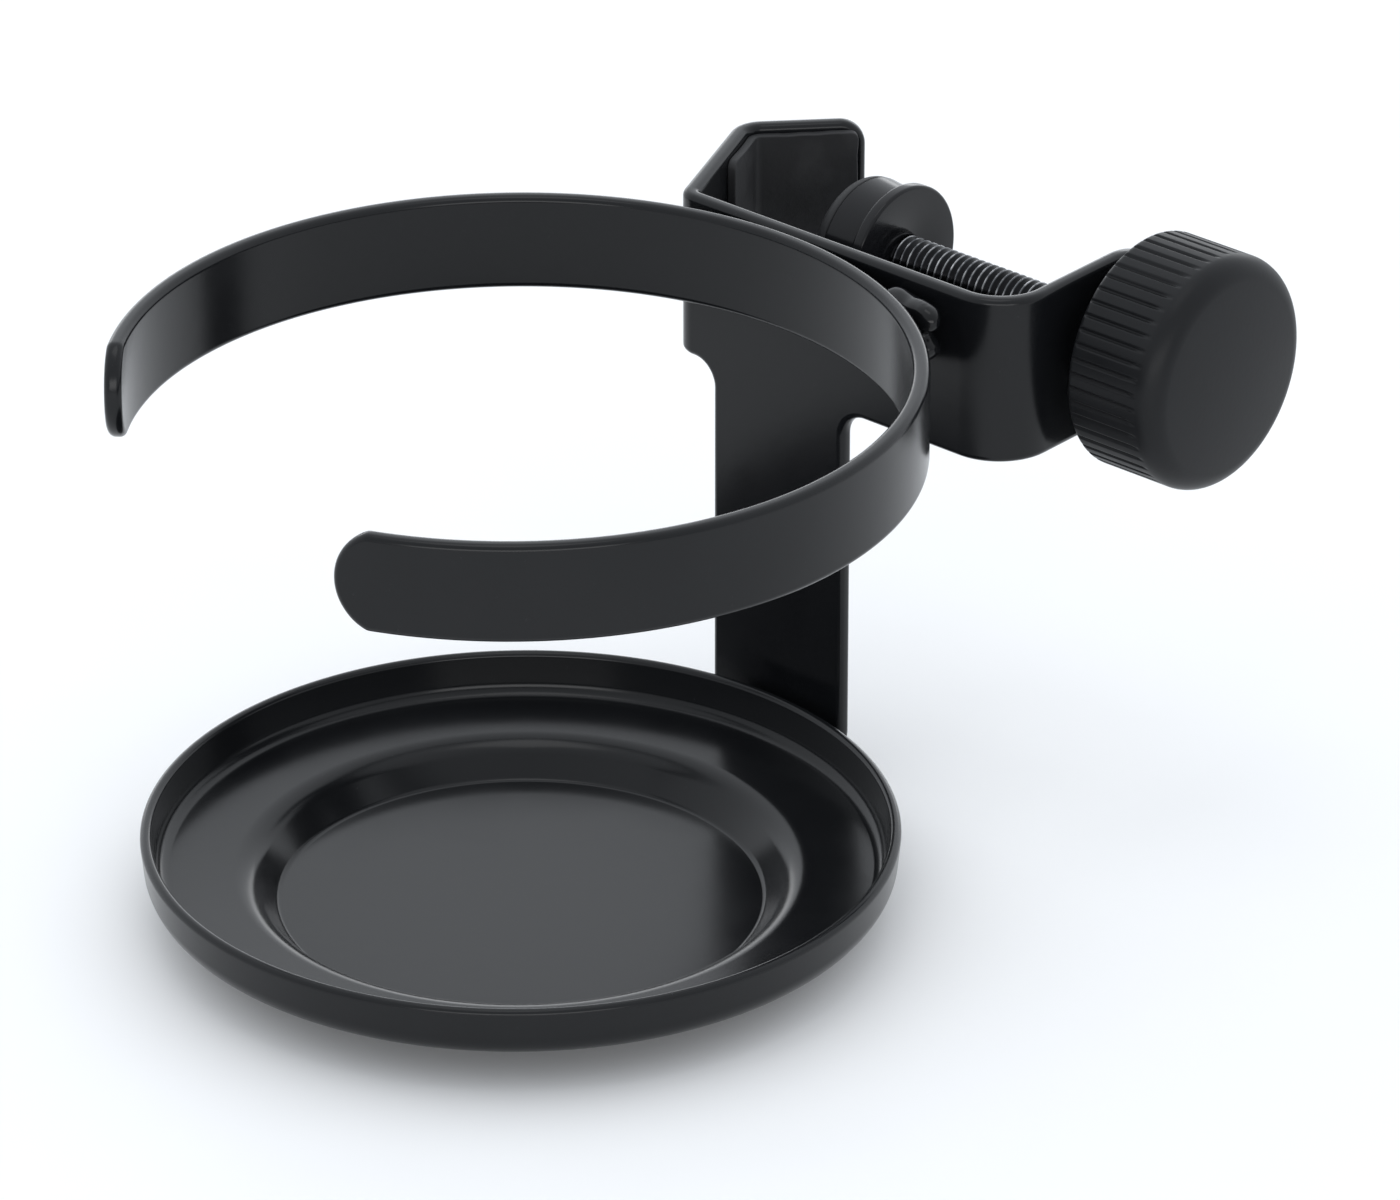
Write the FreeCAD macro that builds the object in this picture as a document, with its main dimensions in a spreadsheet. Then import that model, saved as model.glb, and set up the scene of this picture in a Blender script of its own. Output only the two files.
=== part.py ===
import FreeCAD, Part
import math
import os
import Sketcher
from FreeCAD import Vector

# Clamp-on drink holder: an open strip ring and a dished tray on one bent bracket, whose
# upper band is a V-jaw clamp for a pole with an M6 screw, a pressure pad and a ribbed knob.
# Origin: centre of the tray's underside, on the cup axis. +Z up, +Y from the cup to the clamp,
# +X along the band towards the knob. Millimetres.

DIMENSIONS = {
    # cup ring: flat strip, open at the front left
    "ring_radius": 45.0,
    "ring_top": 67.6,
    "ring_height": 11.4,
    "strip": 2.0,
    "edge_round": 0.6,
    "ring_right_tip": -72.9,
    "ring_left_tip": -139.6,
    "ring_end_depth": 3.85,
    "ring_end_corner": 1.6,
    # tray: pressed sheet with a full-round rim, a flat ledge and a round recess
    "tray_sheet": 1.3,
    "tray_rim_radius": 42.5,
    "tray_rim_height": 10.5,
    "tray_foot_radius": 41.9,
    "floor_bend": 0.8,
    "ledge_bend": 2.7,
    "wall_bend": 1.6,
    "ledge_height": 5.8,
    "ledge_foot_radius": 31.0,
    "recess_foot_radius": 27.9,
    # bracket: band, stem and foot cut from one sheet
    "band_height": 20.0,
    "stem_left": -11.3,
    "stem_right": 8.15,
    "stem_flare": 3.0,
    "foot_end": 33.0,
    "foot_bend": 2.2,
    "wing_outer": 32.1,
    "wing_bend": 5.0,
    "corner_x": -16.3,
    "corner_bend": 0.8,
    "jaw_apex_x": -24.6,
    "jaw_apex_bend": 2.0,
    "jaw_end_x": -14.6,
    "jaw_end_y": 75.2,
    "jaw_end_corner": 3.0,
    # clamp screw and what rides on it
    "screw_y": 64.5,
    "screw_radius": 3.0,
    "screw_neck": 2.2,
    "screw_collar": 0.7,
    "screw_tip_round": 0.4,
    "run_gap": 0.05,
    "part_gap": 0.3,
    "nut_flats": 10.0,
    "nut_height": 3.0,
    "pad_back": 0.9,
    "pad_radius": 8.8,
    "pad_flange": 1.6,
    "pad_round": 0.4,
    "pad_seam_round": 0.15,
    "pad_height": 5.8,
    "pad_body_radius": 7.7,
    "pad_front_radius": 8.2,
    "pad_face_radius": 8.15,
    "pad_face_height": 2.0,
    "pad_face_round": 1.6,
    "socket_depth": 4.1,
    "clip_radius": 3.7,
    "clip_sheet": 0.6,
    "clip_opening": 70.0,
    "knob_back": 35.6,
    "knob_length": 13.1,
    "knob_radius": 13.65,
    "knob_round": 2.8,
    "knob_back_round": 0.8,
    "knob_dome_radius": 100.0,
    "rib_length": 9.9,
    "rib_count": 50,
    "rib_groove": 0.3,
    "head_start": 39.2,
    "head_height": 4.0,
    # rubber liner of the jaw
    "liner_sheet": 1.0,
    "liner_inset": 0.9,
    "liner_lead": 8.5,
    "liner_margin": 1.0,
    "liner_corner": 0.9,
    # weld beads
    "foot_bead": 1.2,
    "foot_bead_start": 33.3,
    "foot_bead_length": 4.4,
    "nut_bead": 1.0,
    "nut_bead_length": 4.4,
}

doc = FreeCAD.newDocument("DrinkHolder")
sheet = doc.addObject("Spreadsheet::Sheet", "Sizes")
for row, (alias, value) in enumerate(DIMENSIONS.items(), start=1):
    sheet.set("A%d" % row, alias)
    sheet.set("B%d" % row, str(value))
    sheet.setAlias("B%d" % row, alias)
doc.recompute()


def size(alias):
    """Value of one named cell of the sheet."""
    return float(sheet.get(alias))


RING = size("ring_radius")
STRIP = size("strip")
BAND_TOP = size("ring_top")
BAND_BOTTOM = BAND_TOP - size("band_height")
SCREW_Y = size("screw_y")
SCREW_Z = (BAND_TOP + BAND_BOTTOM) / 2
LEDGE_UNDER = size("ledge_height") - size("tray_sheet")


# ---------------------------------------------------------------- outlines

def rounded_outline(corners):
    """Closed outline through corners (x, y, radius), as lines joined by tangent arcs."""
    joins = []
    for index, (x, y, radius) in enumerate(corners):
        here = Vector(x, y, 0)
        before = Vector(*corners[index - 1][:2], 0)
        after = Vector(*corners[(index + 1) % len(corners)][:2], 0)
        to_before = (before - here).normalize()
        to_after = (after - here).normalize()
        half = to_before.getAngle(to_after) / 2
        if radius == 0:
            joins.append((here, here, here))
            continue
        reach = radius / math.tan(half)
        inward = (to_before + to_after).normalize()
        centre = here + inward * (radius / math.sin(half))
        joins.append((here + to_before * reach, centre - inward * radius, here + to_after * reach))
    edges = []
    for index, (start, middle, end) in enumerate(joins):
        if start.distanceToPoint(end) > 1e-6:
            edges.append(Part.Arc(start, middle, end))
        following = joins[(index + 1) % len(joins)][0]
        if end.distanceToPoint(following) > 1e-4:
            edges.append(Part.LineSegment(end, following))
    return edges


def left_of(direction):
    return Vector(-direction.y, direction.x, 0)


def ring_point(radius, degrees):
    angle = math.radians(degrees)
    return Vector(radius * math.cos(angle), radius * math.sin(angle), 0)


def strip_outline(path, bends, thickness, end_round=0.0):
    """Outline of a bent sheet whose right-hand face follows path, with the sheet to its left.

    bends gives the inside radius of the bend at each inner point of path.
    """
    points = [Vector(x, y, 0) for x, y in path]
    runs = [(b - a).normalize() for a, b in zip(points, points[1:])]
    start_left = points[0] + left_of(runs[0]) * thickness
    right = [(points[0].x, points[0].y, 0)]
    left = [(start_left.x, start_left.y, 0)]
    for point, run, following, bend in zip(points[1:], runs, runs[1:], bends):
        turn = run.x * following.y - run.y * following.x
        miter = (left_of(run) + left_of(following)).normalize()
        shift = miter * (thickness / miter.dot(left_of(run)))
        inner = bend
        outer = bend + thickness
        right.append((point.x, point.y, outer if turn > 0 else inner))
        left.append((point.x + shift.x, point.y + shift.y, inner if turn > 0 else outer))
    tip = points[-1]
    tip_left = tip + left_of(runs[-1]) * thickness
    right.append((tip.x, tip.y, end_round))
    left.append((tip_left.x, tip_left.y, end_round))
    return rounded_outline(right + left[::-1])


# ---------------------------------------------------------------- PartDesign helpers

def new_body(label):
    body = doc.addObject("PartDesign::Body", label + "_body")
    body.Label = label
    return body


def new_sketch(body, name, role, geometry, offset=None):
    """Sketch on one of the body's origin planes, raised along the plane's normal by offset."""
    sketch = body.newObject("Sketcher::SketchObject", name)
    plane = [item for item in body.Origin.OriginFeatures if item.Role == role][0]
    sketch.AttachmentSupport = [(plane, "")]
    sketch.MapMode = "FlatFace"
    if offset:
        sketch.setExpression("AttachmentOffset.Base.z", offset)
    sketch.addGeometry(geometry, False)
    return sketch


def pad(body, name, sketch, length, reverse=False):
    feature = body.newObject("PartDesign::Pad", name)
    feature.Profile = sketch
    feature.Reversed = reverse
    feature.setExpression("Length", length)
    return feature


def pocket(body, name, sketch, length, reverse=False, both=False):
    feature = body.newObject("PartDesign::Pocket", name)
    feature.Profile = sketch
    feature.Reversed = reverse
    feature.Midplane = both
    feature.setExpression("Length", length)
    return feature


def revolve(body, name, sketch, axis):
    feature = body.newObject("PartDesign::Revolution", name)
    feature.Profile = sketch
    feature.ReferenceAxis = (sketch, [axis])
    feature.Angle = 360
    return feature


def fillet(body, name, base, edges, radius):
    feature = body.newObject("PartDesign::Fillet", name)
    feature.Base = (base, edges)
    feature.setExpression("Radius", radius)
    return feature


def rim_edges(shape):
    """Names of the edges between the faces of a bent sheet and its cut rim.

    A face of the rim has at least one edge that runs straight across the sheet's thickness.
    """
    def crosses(edge):
        return abs(edge.Length - STRIP) < 0.02

    rim = [edge for face in shape.Faces if any(map(crosses, face.Edges)) for edge in face.Edges]
    chosen = [edge for edge in rim if not crosses(edge)]
    return ["Edge%d" % number for number, edge in enumerate(shape.Edges, start=1)
            if any(edge.isSame(other) for other in chosen)]


def hexagon(flats):
    """Regular hexagon about the sketch's origin, its flats level, as sketch lines."""
    radius = flats / math.sqrt(3)
    corners = [ring_point(radius, 60 * step) for step in range(6)]
    return rounded_outline([(corner.x, corner.y, 0) for corner in corners])


# ---------------------------------------------------------------- on the screw's axis

def turned(body, name, section):
    """Solid turned about the screw's axis from a section of (x, distance from the axis)."""
    sketch = new_sketch(body, name + "_section", "XY_Plane", section,
                        "Sizes.ring_top - Sizes.band_height / 2")
    sketch.setExpression("AttachmentOffset.Base.y", "Sizes.screw_y")
    return revolve(body, name, sketch, "H_Axis")


def axial_sketch(body, name, geometry, offset):
    """Sketch square to the screw's axis and centred on it, x along +Y and y along +Z."""
    sketch = new_sketch(body, name, "YZ_Plane", geometry, offset)
    sketch.setExpression("AttachmentOffset.Base.x", "Sizes.screw_y")
    sketch.setExpression("AttachmentOffset.Base.y", "Sizes.ring_top - Sizes.band_height / 2")
    return sketch


def bore(body, name, radius, start, length):
    """Bore on the screw's axis that runs from start towards -X."""
    circle = [Part.Circle(Vector(0, 0, 0), Vector(0, 0, 1), 1)]
    sketch = axial_sketch(body, name + "_circle", circle, start)
    sketch.addConstraint(Sketcher.Constraint("Coincident", -1, 1, 0, 3))
    sketch.addConstraint(Sketcher.Constraint("Radius", 0, 1.0))
    sketch.setExpression("Constraints[1]", radius)
    return pocket(body, name, sketch, length)


# ---------------------------------------------------------------- bracket

def band_path():
    """Outer face of the band in plan, from the jaw's free end round to the end of the wing."""
    return [
        (size("jaw_end_x"), size("jaw_end_y")),
        (size("jaw_apex_x"), SCREW_Y),
        (size("corner_x"), RING),
        (size("wing_outer"), RING),
        (size("wing_outer"), SCREW_Y + size("band_height") / 2),
    ]


def make_bracket():
    body = new_body("clamp_bracket")
    bends = [size("jaw_apex_bend"), size("corner_bend"), size("wing_bend")]
    plan = strip_outline(band_path(), bends, STRIP)
    band_sketch = new_sketch(body, "band_plan", "XY_Plane", plan, "Sizes.ring_top - Sizes.band_height")
    pad(body, "band", band_sketch, "Sizes.band_height")
    stem_sketch = new_sketch(body, "stem_front", "XZ_Plane", stem_front_outline(), "-Sizes.ring_radius")
    pad(body, "stem", stem_sketch, "Sizes.strip", reverse=True)
    foot_sketch = new_sketch(body, "foot_side", "YZ_Plane", foot_side_outline(), "Sizes.stem_left")
    pad(body, "foot", foot_sketch, "Sizes.stem_right - Sizes.stem_left")
    wing_sketch = new_sketch(body, "wing_end", "YZ_Plane", wing_end_notch(), "Sizes.wing_outer + 1")
    pocket(body, "wing_round", wing_sketch, "Sizes.strip + 2")
    jaw_end = jaw_end_sketch(body)
    jaw_round = pocket(body, "jaw_end_round", jaw_end, "4 * Sizes.strip", both=True)
    doc.recompute()
    fillet(body, "edge_round", jaw_round, rim_edges(jaw_round.Shape), "Sizes.edge_round")
    bore(body, "screw_bore", "Sizes.screw_radius + Sizes.run_gap",
         "Sizes.wing_outer + 1", "Sizes.strip + 2")
    doc.recompute()
    return body


def stem_front_outline():
    """Stem from the foot's bend up into the band, flaring where the two meet."""
    left, right = size("stem_left"), size("stem_right")
    flare = size("stem_flare")
    bottom = LEDGE_UNDER + size("foot_bend")
    inside = BAND_BOTTOM + 1.0
    return rounded_outline([
        (left, bottom, 0),
        (right, bottom, 0),
        (right, BAND_BOTTOM, flare),
        (right + flare, BAND_BOTTOM, 0),
        (right + flare, inside, 0),
        (left - flare, inside, 0),
        (left - flare, BAND_BOTTOM, 0),
        (left, BAND_BOTTOM, flare),
    ])


def foot_side_outline():
    """Foot under the tray's ledge and its bend up into the stem, seen from the side."""
    path = [
        (size("foot_end"), LEDGE_UNDER - STRIP),
        (RING + STRIP, LEDGE_UNDER - STRIP),
        (RING + STRIP, LEDGE_UNDER + size("foot_bend")),
    ]
    return strip_outline(path, [size("foot_bend")], STRIP)


def wing_end_notch():
    """What the wing's full-round end leaves out of its square end."""
    half = size("band_height") / 2
    end = SCREW_Y + half
    out = 1.0
    low, high = BAND_BOTTOM, BAND_TOP
    return [
        Part.Arc(Vector(SCREW_Y, high, 0), Vector(end, SCREW_Z, 0), Vector(SCREW_Y, low, 0)),
        Part.LineSegment(Vector(SCREW_Y, low, 0), Vector(SCREW_Y, low - out, 0)),
        Part.LineSegment(Vector(SCREW_Y, low - out, 0), Vector(end + out, low - out, 0)),
        Part.LineSegment(Vector(end + out, low - out, 0), Vector(end + out, high + out, 0)),
        Part.LineSegment(Vector(end + out, high + out, 0), Vector(SCREW_Y, high + out, 0)),
        Part.LineSegment(Vector(SCREW_Y, high + out, 0), Vector(SCREW_Y, high, 0)),
    ]


def jaw_end_sketch(body):
    """Sketch square to the jaw's second arm, with the two corners its rounded end leaves out."""
    end = Vector(size("jaw_end_x"), size("jaw_end_y"), 0)
    apex = Vector(size("jaw_apex_x"), SCREW_Y, 0)
    along = (end - apex).normalize()
    corner = size("jaw_end_corner")
    out = 1.0
    geometry = []
    for level, inward in ((BAND_BOTTOM, 1), (BAND_TOP, -1)):
        centre = Vector(-corner, level + inward * corner, 0)
        diagonal = Vector(1, -inward, 0) * (corner / math.sqrt(2))
        start = Vector(-corner, level, 0)
        finish = Vector(0, level + inward * corner, 0)
        outer = [finish, finish + Vector(out, 0, 0), Vector(out, level - inward * out, 0),
                 Vector(-corner, level - inward * out, 0), start]
        geometry.append(Part.Arc(start, centre + diagonal, finish))
        geometry += [Part.LineSegment(a, b) for a, b in zip(outer, outer[1:])]
    sketch = body.newObject("Sketcher::SketchObject", "jaw_end")
    plane = [item for item in body.Origin.OriginFeatures if item.Role == "XY_Plane"][0]
    sketch.AttachmentSupport = [(plane, "")]
    sketch.MapMode = "FlatFace"
    turn = FreeCAD.Rotation(along, Vector(0, 0, 1), left_of(along) * -1, "XYZ")
    sketch.AttachmentOffset = FreeCAD.Placement(end, turn)
    sketch.addGeometry(geometry, False)
    return sketch


# ---------------------------------------------------------------- cup ring

def ring_plan():
    """Open ring in plan, from its right-hand tip counter-clockwise round to its left-hand tip.

    It runs on a little past both tips, which the rounded ends are then cut from.
    """
    spare = math.degrees(size("strip") / RING)
    right = size("ring_right_tip") - spare
    left = size("ring_left_tip") + 360 + spare
    middle = (right + left) / 2
    inner = RING - STRIP
    return [
        Part.Arc(ring_point(RING, right), ring_point(RING, middle), ring_point(RING, left)),
        Part.LineSegment(ring_point(RING, left), ring_point(inner, left)),
        Part.Arc(ring_point(inner, left), ring_point(inner, middle), ring_point(inner, right)),
        Part.LineSegment(ring_point(inner, right), ring_point(RING, right)),
    ]


def tip_notch(side):
    """All that lies beyond the ring's rounded tip: a shallow arc between two rounded corners.

    x runs along the ring, with the tip at 0 and the ring behind it; side says which way it points.
    y runs up from the ring's lower edge.
    """
    height = size("ring_height")
    depth = size("ring_end_depth")
    corner = size("ring_end_corner")
    radius = (height * height / 4 + depth * depth) / (2 * depth)
    shoulder = -radius + math.sqrt((radius - corner) ** 2 - (height / 2 - corner) ** 2)
    centre = Vector(-radius, height / 2, 0)

    def corner_arc(level, inward):
        hub = Vector(shoulder, level + inward * corner, 0)
        start = Vector(shoulder, level, 0)
        touch = centre + (hub - centre).normalize() * radius
        middle = hub + ((start - hub).normalize() + (touch - hub).normalize()).normalize() * corner
        return start, middle, touch

    low, low_middle, low_touch = corner_arc(0, 1)
    high, high_middle, high_touch = corner_arc(height, -1)
    beyond = 3 * STRIP
    frame = [high, Vector(shoulder, height + STRIP, 0), Vector(beyond, height + STRIP, 0),
             Vector(beyond, -STRIP, 0), Vector(shoulder, -STRIP, 0), low]
    arcs = [(low, low_middle, low_touch), (low_touch, Vector(0, height / 2, 0), high_touch),
            (high_touch, high_middle, high)]
    turned = [[Vector(side * point.x, point.y, 0) for point in arc] for arc in arcs]
    frame = [Vector(side * point.x, point.y, 0) for point in frame]
    return [Part.Arc(*arc) for arc in turned] + [Part.LineSegment(a, b) for a, b in zip(frame, frame[1:])]


def make_ring():
    body = new_body("cup_ring")
    plan = new_sketch(body, "ring_plan", "XY_Plane", ring_plan(), "Sizes.ring_top - Sizes.ring_height")
    last = pad(body, "ring", plan, "Sizes.ring_height")
    lower_edge = Vector(0, 0, BAND_TOP - size("ring_height"))
    for name, side in (("right", -1), ("left", 1)):
        degrees = size("ring_%s_tip" % name)
        outward = ring_point(1, degrees)
        turn = FreeCAD.Rotation(left_of(outward), Vector(0, 0, 1), outward, "XYZ")
        sketch = new_sketch(body, name + "_tip", "XY_Plane", tip_notch(side))
        sketch.AttachmentOffset = FreeCAD.Placement(outward * (RING + STRIP) + lower_edge, turn)
        last = pocket(body, name + "_tip_cut", sketch, "4 * Sizes.strip")
    doc.recompute()
    fillet(body, "ring_round", last, rim_edges(last.Shape), "Sizes.edge_round")
    doc.recompute()
    return body


# ---------------------------------------------------------------- tray

def make_tray():
    """Pressed tray, turned about the cup axis from the section of its sheet."""
    body = new_body("cup_tray")
    underside = [
        (0, 0),
        (size("recess_foot_radius"), 0),
        (size("ledge_foot_radius"), LEDGE_UNDER),
        (size("tray_foot_radius"), LEDGE_UNDER),
        (size("tray_rim_radius"), size("tray_rim_height")),
    ]
    sheet_size = size("tray_sheet")
    bends = [size("floor_bend"), size("ledge_bend"), size("wall_bend")]
    section = strip_outline(underside, bends, sheet_size, end_round=sheet_size / 2)
    sketch = new_sketch(body, "tray_section", "XZ_Plane", section)
    revolve(body, "tray", sketch, "V_Axis")
    doc.recompute()
    return body


# ---------------------------------------------------------------- jaw liner

def make_liner():
    """Rubber strip on the inside of the V, from near the end of its second arm round its apex."""
    body = new_body("jaw_liner")
    end, apex, corner = [Vector(x, y, 0) for x, y in band_path()[:3]]
    to_end = (end - apex).normalize()
    to_corner = (corner - apex).normalize()
    inward = (to_end + to_corner).normalize()
    inner_apex = apex + inward * (STRIP / math.sin(to_end.getAngle(to_corner) / 2))
    start = end + left_of(to_end) * -STRIP - to_end * size("liner_margin")
    finish = inner_apex + to_corner * size("liner_lead")
    thickness = size("liner_sheet")
    plan = strip_outline([point[:2] for point in (start, inner_apex, finish)],
                         [size("jaw_apex_bend") - thickness], thickness)
    sketch = new_sketch(body, "liner_plan", "XY_Plane", plan,
                        "Sizes.ring_top - Sizes.band_height + Sizes.liner_inset")
    liner = pad(body, "liner", sketch, "Sizes.band_height - 2 * Sizes.liner_inset")
    doc.recompute()
    corners = ["Edge%d" % number for number, edge in enumerate(liner.Shape.Edges, start=1)
               if abs(edge.Length - thickness) < 1e-4]
    fillet(body, "liner_round", liner, corners, "Sizes.liner_corner")
    doc.recompute()
    return body


# ---------------------------------------------------------------- nut, pad, clip, screw and knob

def make_nut():
    """Thin hexagon nut on the wing's outer face."""
    body = new_body("weld_nut")
    sketch = axial_sketch(body, "nut_hexagon", hexagon(size("nut_flats")), "Sizes.wing_outer")
    pad(body, "nut", sketch, "Sizes.nut_height")
    bore(body, "nut_bore", "Sizes.screw_radius + Sizes.run_gap",
         "Sizes.wing_outer + Sizes.nut_height", "Sizes.nut_height")
    doc.recompute()
    return body


def screw_tip():
    """Where the screw ends, just short of the bottom of the disc's socket."""
    return size("pad_back") - size("socket_depth") + size("part_gap")


def clip_start():
    """Where the screw's neck, and the clip on it, starts behind the tip."""
    return screw_tip() + size("screw_collar")


def make_pad_disc():
    """Flanged disc with a blind socket for the screw's tip and a groove in it for the clip."""
    body = new_body("pad_disc")
    back = size("pad_back")
    front = back - size("pad_height")
    bottom = back - size("socket_depth")
    bore_radius = size("screw_radius") + size("run_gap")
    groove_radius = size("clip_radius") + size("part_gap")
    groove_start = clip_start() - size("part_gap")
    groove_end = clip_start() + size("clip_sheet") + size("part_gap")
    radius, body_radius = size("pad_radius"), size("pad_body_radius")
    front_radius = size("pad_front_radius")
    flange = back - size("pad_flange")
    edge = size("pad_round")
    section = rounded_outline([
        (front, 0, 0),
        (front, front_radius, size("pad_seam_round")),
        (flange, body_radius, edge),
        (flange, radius, edge),
        (back, radius, edge),
        (back, bore_radius, 0),
        (groove_end, bore_radius, 0),
        (groove_end, groove_radius, 0),
        (groove_start, groove_radius, 0),
        (groove_start, bore_radius, 0),
        (bottom, bore_radius, 0),
        (bottom, 0, 0),
    ])
    turned(body, "disc", section)
    doc.recompute()
    return body


def make_pad_face():
    """Soft facing that the disc presses on the pole with."""
    body = new_body("pad_face")
    back = size("pad_back") - size("pad_height")
    front = back - size("pad_face_height")
    radius = size("pad_face_radius")
    edge = size("pad_face_round")
    section = rounded_outline([(front, 0, 0), (front, radius, edge), (back, radius, 0), (back, 0, 0)])
    turned(body, "facing", section)
    doc.recompute()
    return body


def make_clip():
    """Open retaining ring that snaps on the screw's neck and turns in the disc's groove."""
    body = new_body("pad_clip")
    inner, outer = size("screw_neck"), size("clip_radius")
    end = size("clip_opening") / 2
    ring = [
        Part.Arc(ring_point(outer, end), ring_point(outer, 180), ring_point(outer, -end)),
        Part.LineSegment(ring_point(outer, -end), ring_point(inner, -end)),
        Part.Arc(ring_point(inner, -end), ring_point(inner, 180), ring_point(inner, end)),
        Part.LineSegment(ring_point(inner, end), ring_point(outer, end)),
    ]
    sketch = axial_sketch(body, "clip_outline", ring, None)
    sketch.AttachmentOffset.Base.z = clip_start()
    pad(body, "clip", sketch, "Sizes.clip_sheet")
    doc.recompute()
    return body


def make_screw():
    """Clamp screw: plain-drawn shank with a neck for the clip, and a hexagon head in the knob."""
    body = new_body("clamp_screw")
    tip = screw_tip()
    neck_start = clip_start()
    neck_end = neck_start + size("clip_sheet")
    radius, neck, head = size("screw_radius"), size("screw_neck"), size("head_start")
    section = rounded_outline([
        (tip, 0, 0),
        (tip, radius, size("screw_tip_round")),
        (neck_start, radius, 0),
        (neck_start, neck, 0),
        (neck_end, neck, 0),
        (neck_end, radius, 0),
        (head, radius, 0),
        (head, 0, 0),
    ])
    turned(body, "shank", section)
    sketch = axial_sketch(body, "head_hexagon", hexagon(size("nut_flats")), "Sizes.head_start")
    pad(body, "head", sketch, "Sizes.head_height")
    doc.recompute()
    return body


def knob_section():
    """Half section of the knob: straight side, large rounding and a slightly domed face."""
    back = size("knob_back")
    front = back + size("knob_length")
    radius, corner, dome = size("knob_radius"), size("knob_round"), size("knob_dome_radius")
    edge = size("knob_back_round")
    dome_centre = Vector(front - dome, 0, 0)
    reach = math.sqrt((dome - corner) ** 2 - (radius - corner) ** 2)
    hub = dome_centre + Vector(reach, radius - corner, 0)
    inner = size("screw_radius")
    touch = dome_centre + (hub - dome_centre).normalize() * dome
    side = hub + Vector(0, corner, 0)
    middle = hub + ((side - hub).normalize() + (touch - hub).normalize()).normalize() * corner
    tip = Vector(front, 0, 0)
    crown = dome_centre + ((touch - dome_centre).normalize() + Vector(1, 0, 0)).normalize() * dome
    edge_hub = Vector(back + edge, radius - edge, 0)
    edge_middle = edge_hub + Vector(-1, 1, 0).normalize() * edge
    return [
        Part.LineSegment(Vector(back, inner, 0), Vector(back, radius - edge, 0)),
        Part.Arc(Vector(back, radius - edge, 0), edge_middle, Vector(back + edge, radius, 0)),
        Part.LineSegment(Vector(back + edge, radius, 0), side),
        Part.Arc(side, middle, touch),
        Part.Arc(touch, crown, tip),
        Part.LineSegment(tip, Vector(size("head_start"), 0, 0)),
        Part.LineSegment(Vector(size("head_start"), 0, 0), Vector(size("head_start"), inner, 0)),
        Part.LineSegment(Vector(size("head_start"), inner, 0), Vector(back, inner, 0)),
    ]


def make_knob():
    """Moulded knob round the screw's head, its side ribbed by narrow grooves."""
    body = new_body("clamp_knob")
    turned(body, "knob", knob_section())
    hollow = axial_sketch(body, "head_hollow", hexagon(size("nut_flats")),
                          "Sizes.head_start + Sizes.head_height")
    pocket(body, "head_room", hollow, "Sizes.head_height")
    circle = [Part.Circle(Vector(size("knob_radius"), 0, 0), Vector(0, 0, 1), size("rib_groove"))]
    sketch = axial_sketch(body, "rib_circle", circle, "Sizes.knob_back")
    groove = pocket(body, "rib_groove_cut", sketch, "Sizes.rib_length", reverse=True)
    doc.recompute()
    ribs = body.newObject("PartDesign::PolarPattern", "ribs")
    ribs.Originals = [groove]
    ribs.Axis = (sketch, ["N_Axis"])
    ribs.Angle = 360
    ribs.setExpression("Occurrences", "Sizes.rib_count")
    body.Tip = ribs
    doc.recompute()
    return body


# ---------------------------------------------------------------- weld beads

def new_feature(label, solids):
    """Sub-part made of the solids left after clipping, each a weld bead of its own."""
    feature = doc.addObject("Part::Feature", label + "_shape")
    feature.Label = label
    feature.Shape = solids[0] if len(solids) == 1 else Part.makeCompound(solids)
    return feature


# lumps of the two beads between ring and plate: place along X, height and radius
RING_BEADS = (
    ((18.8, 64.5, 2.3), (21.2, 64.4, 2.2), (23.4, 64.2, 1.8), (22.8, 61.8, 1.9)),
    ((-14.2, 61.6, 1.9), (-13.6, 59.4, 2.1)),
)


def make_ring_weld():
    """Lumpy beads in the wedge between the ring and the plate, one each side of where they touch."""
    inside_ring = Part.makeCylinder(RING, 2 * BAND_TOP)
    behind = Part.makeBox(8 * RING, RING, 2 * BAND_TOP, Vector(-4 * RING, RING, 0))
    solids = []
    for lumps in RING_BEADS:
        balls = []
        for across, height, radius in lumps:
            depth = (math.sqrt(RING ** 2 - across ** 2) + RING) / 2
            balls.append(Part.makeSphere(radius, Vector(across, depth, height)))
        bead = balls[0].multiFuse(balls[1:]).cut([inside_ring, behind]).removeSplitter()
        solids += bead.Solids
    return new_feature("ring_weld", solids)


def make_foot_weld():
    """Quarter-round beads along both sides of the foot, against the underside of the ledge."""
    radius, start, length = size("foot_bead"), size("foot_bead_start"), size("foot_bead_length")
    ledge = Part.makeBox(2 * RING, 2 * RING, RING, Vector(-RING, 0, LEDGE_UNDER))
    foot = Part.makeBox(size("stem_right") - size("stem_left"), 2 * RING, RING,
                        Vector(size("stem_left"), 0, LEDGE_UNDER - RING))
    solids = []
    for side in ("stem_left", "stem_right"):
        bar = Part.makeCylinder(radius, length, Vector(size(side), start, LEDGE_UNDER), Vector(0, 1, 0))
        solids += bar.cut([ledge, foot]).Solids
    return new_feature("foot_weld", solids)


def make_nut_weld():
    """Quarter-round beads where the nut's upper and lower flats meet the wing."""
    radius, length = size("nut_bead"), size("nut_bead_length")
    flat = size("nut_flats") / 2
    outer = size("wing_outer")
    wing = Part.makeBox(RING, 2 * RING, 2 * BAND_TOP, Vector(outer - RING, 0, 0))
    nut = Part.makeBox(RING, 2 * RING, 2 * flat, Vector(outer, 0, SCREW_Z - flat))
    solids = []
    for level in (SCREW_Z - flat, SCREW_Z + flat):
        bar = Part.makeCylinder(radius, length, Vector(outer, SCREW_Y - length / 2, level), Vector(0, 1, 0))
        solids += bar.cut([wing, nut]).Solids
    return new_feature("nut_weld", solids)


# ---------------------------------------------------------------- build, check and write

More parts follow.
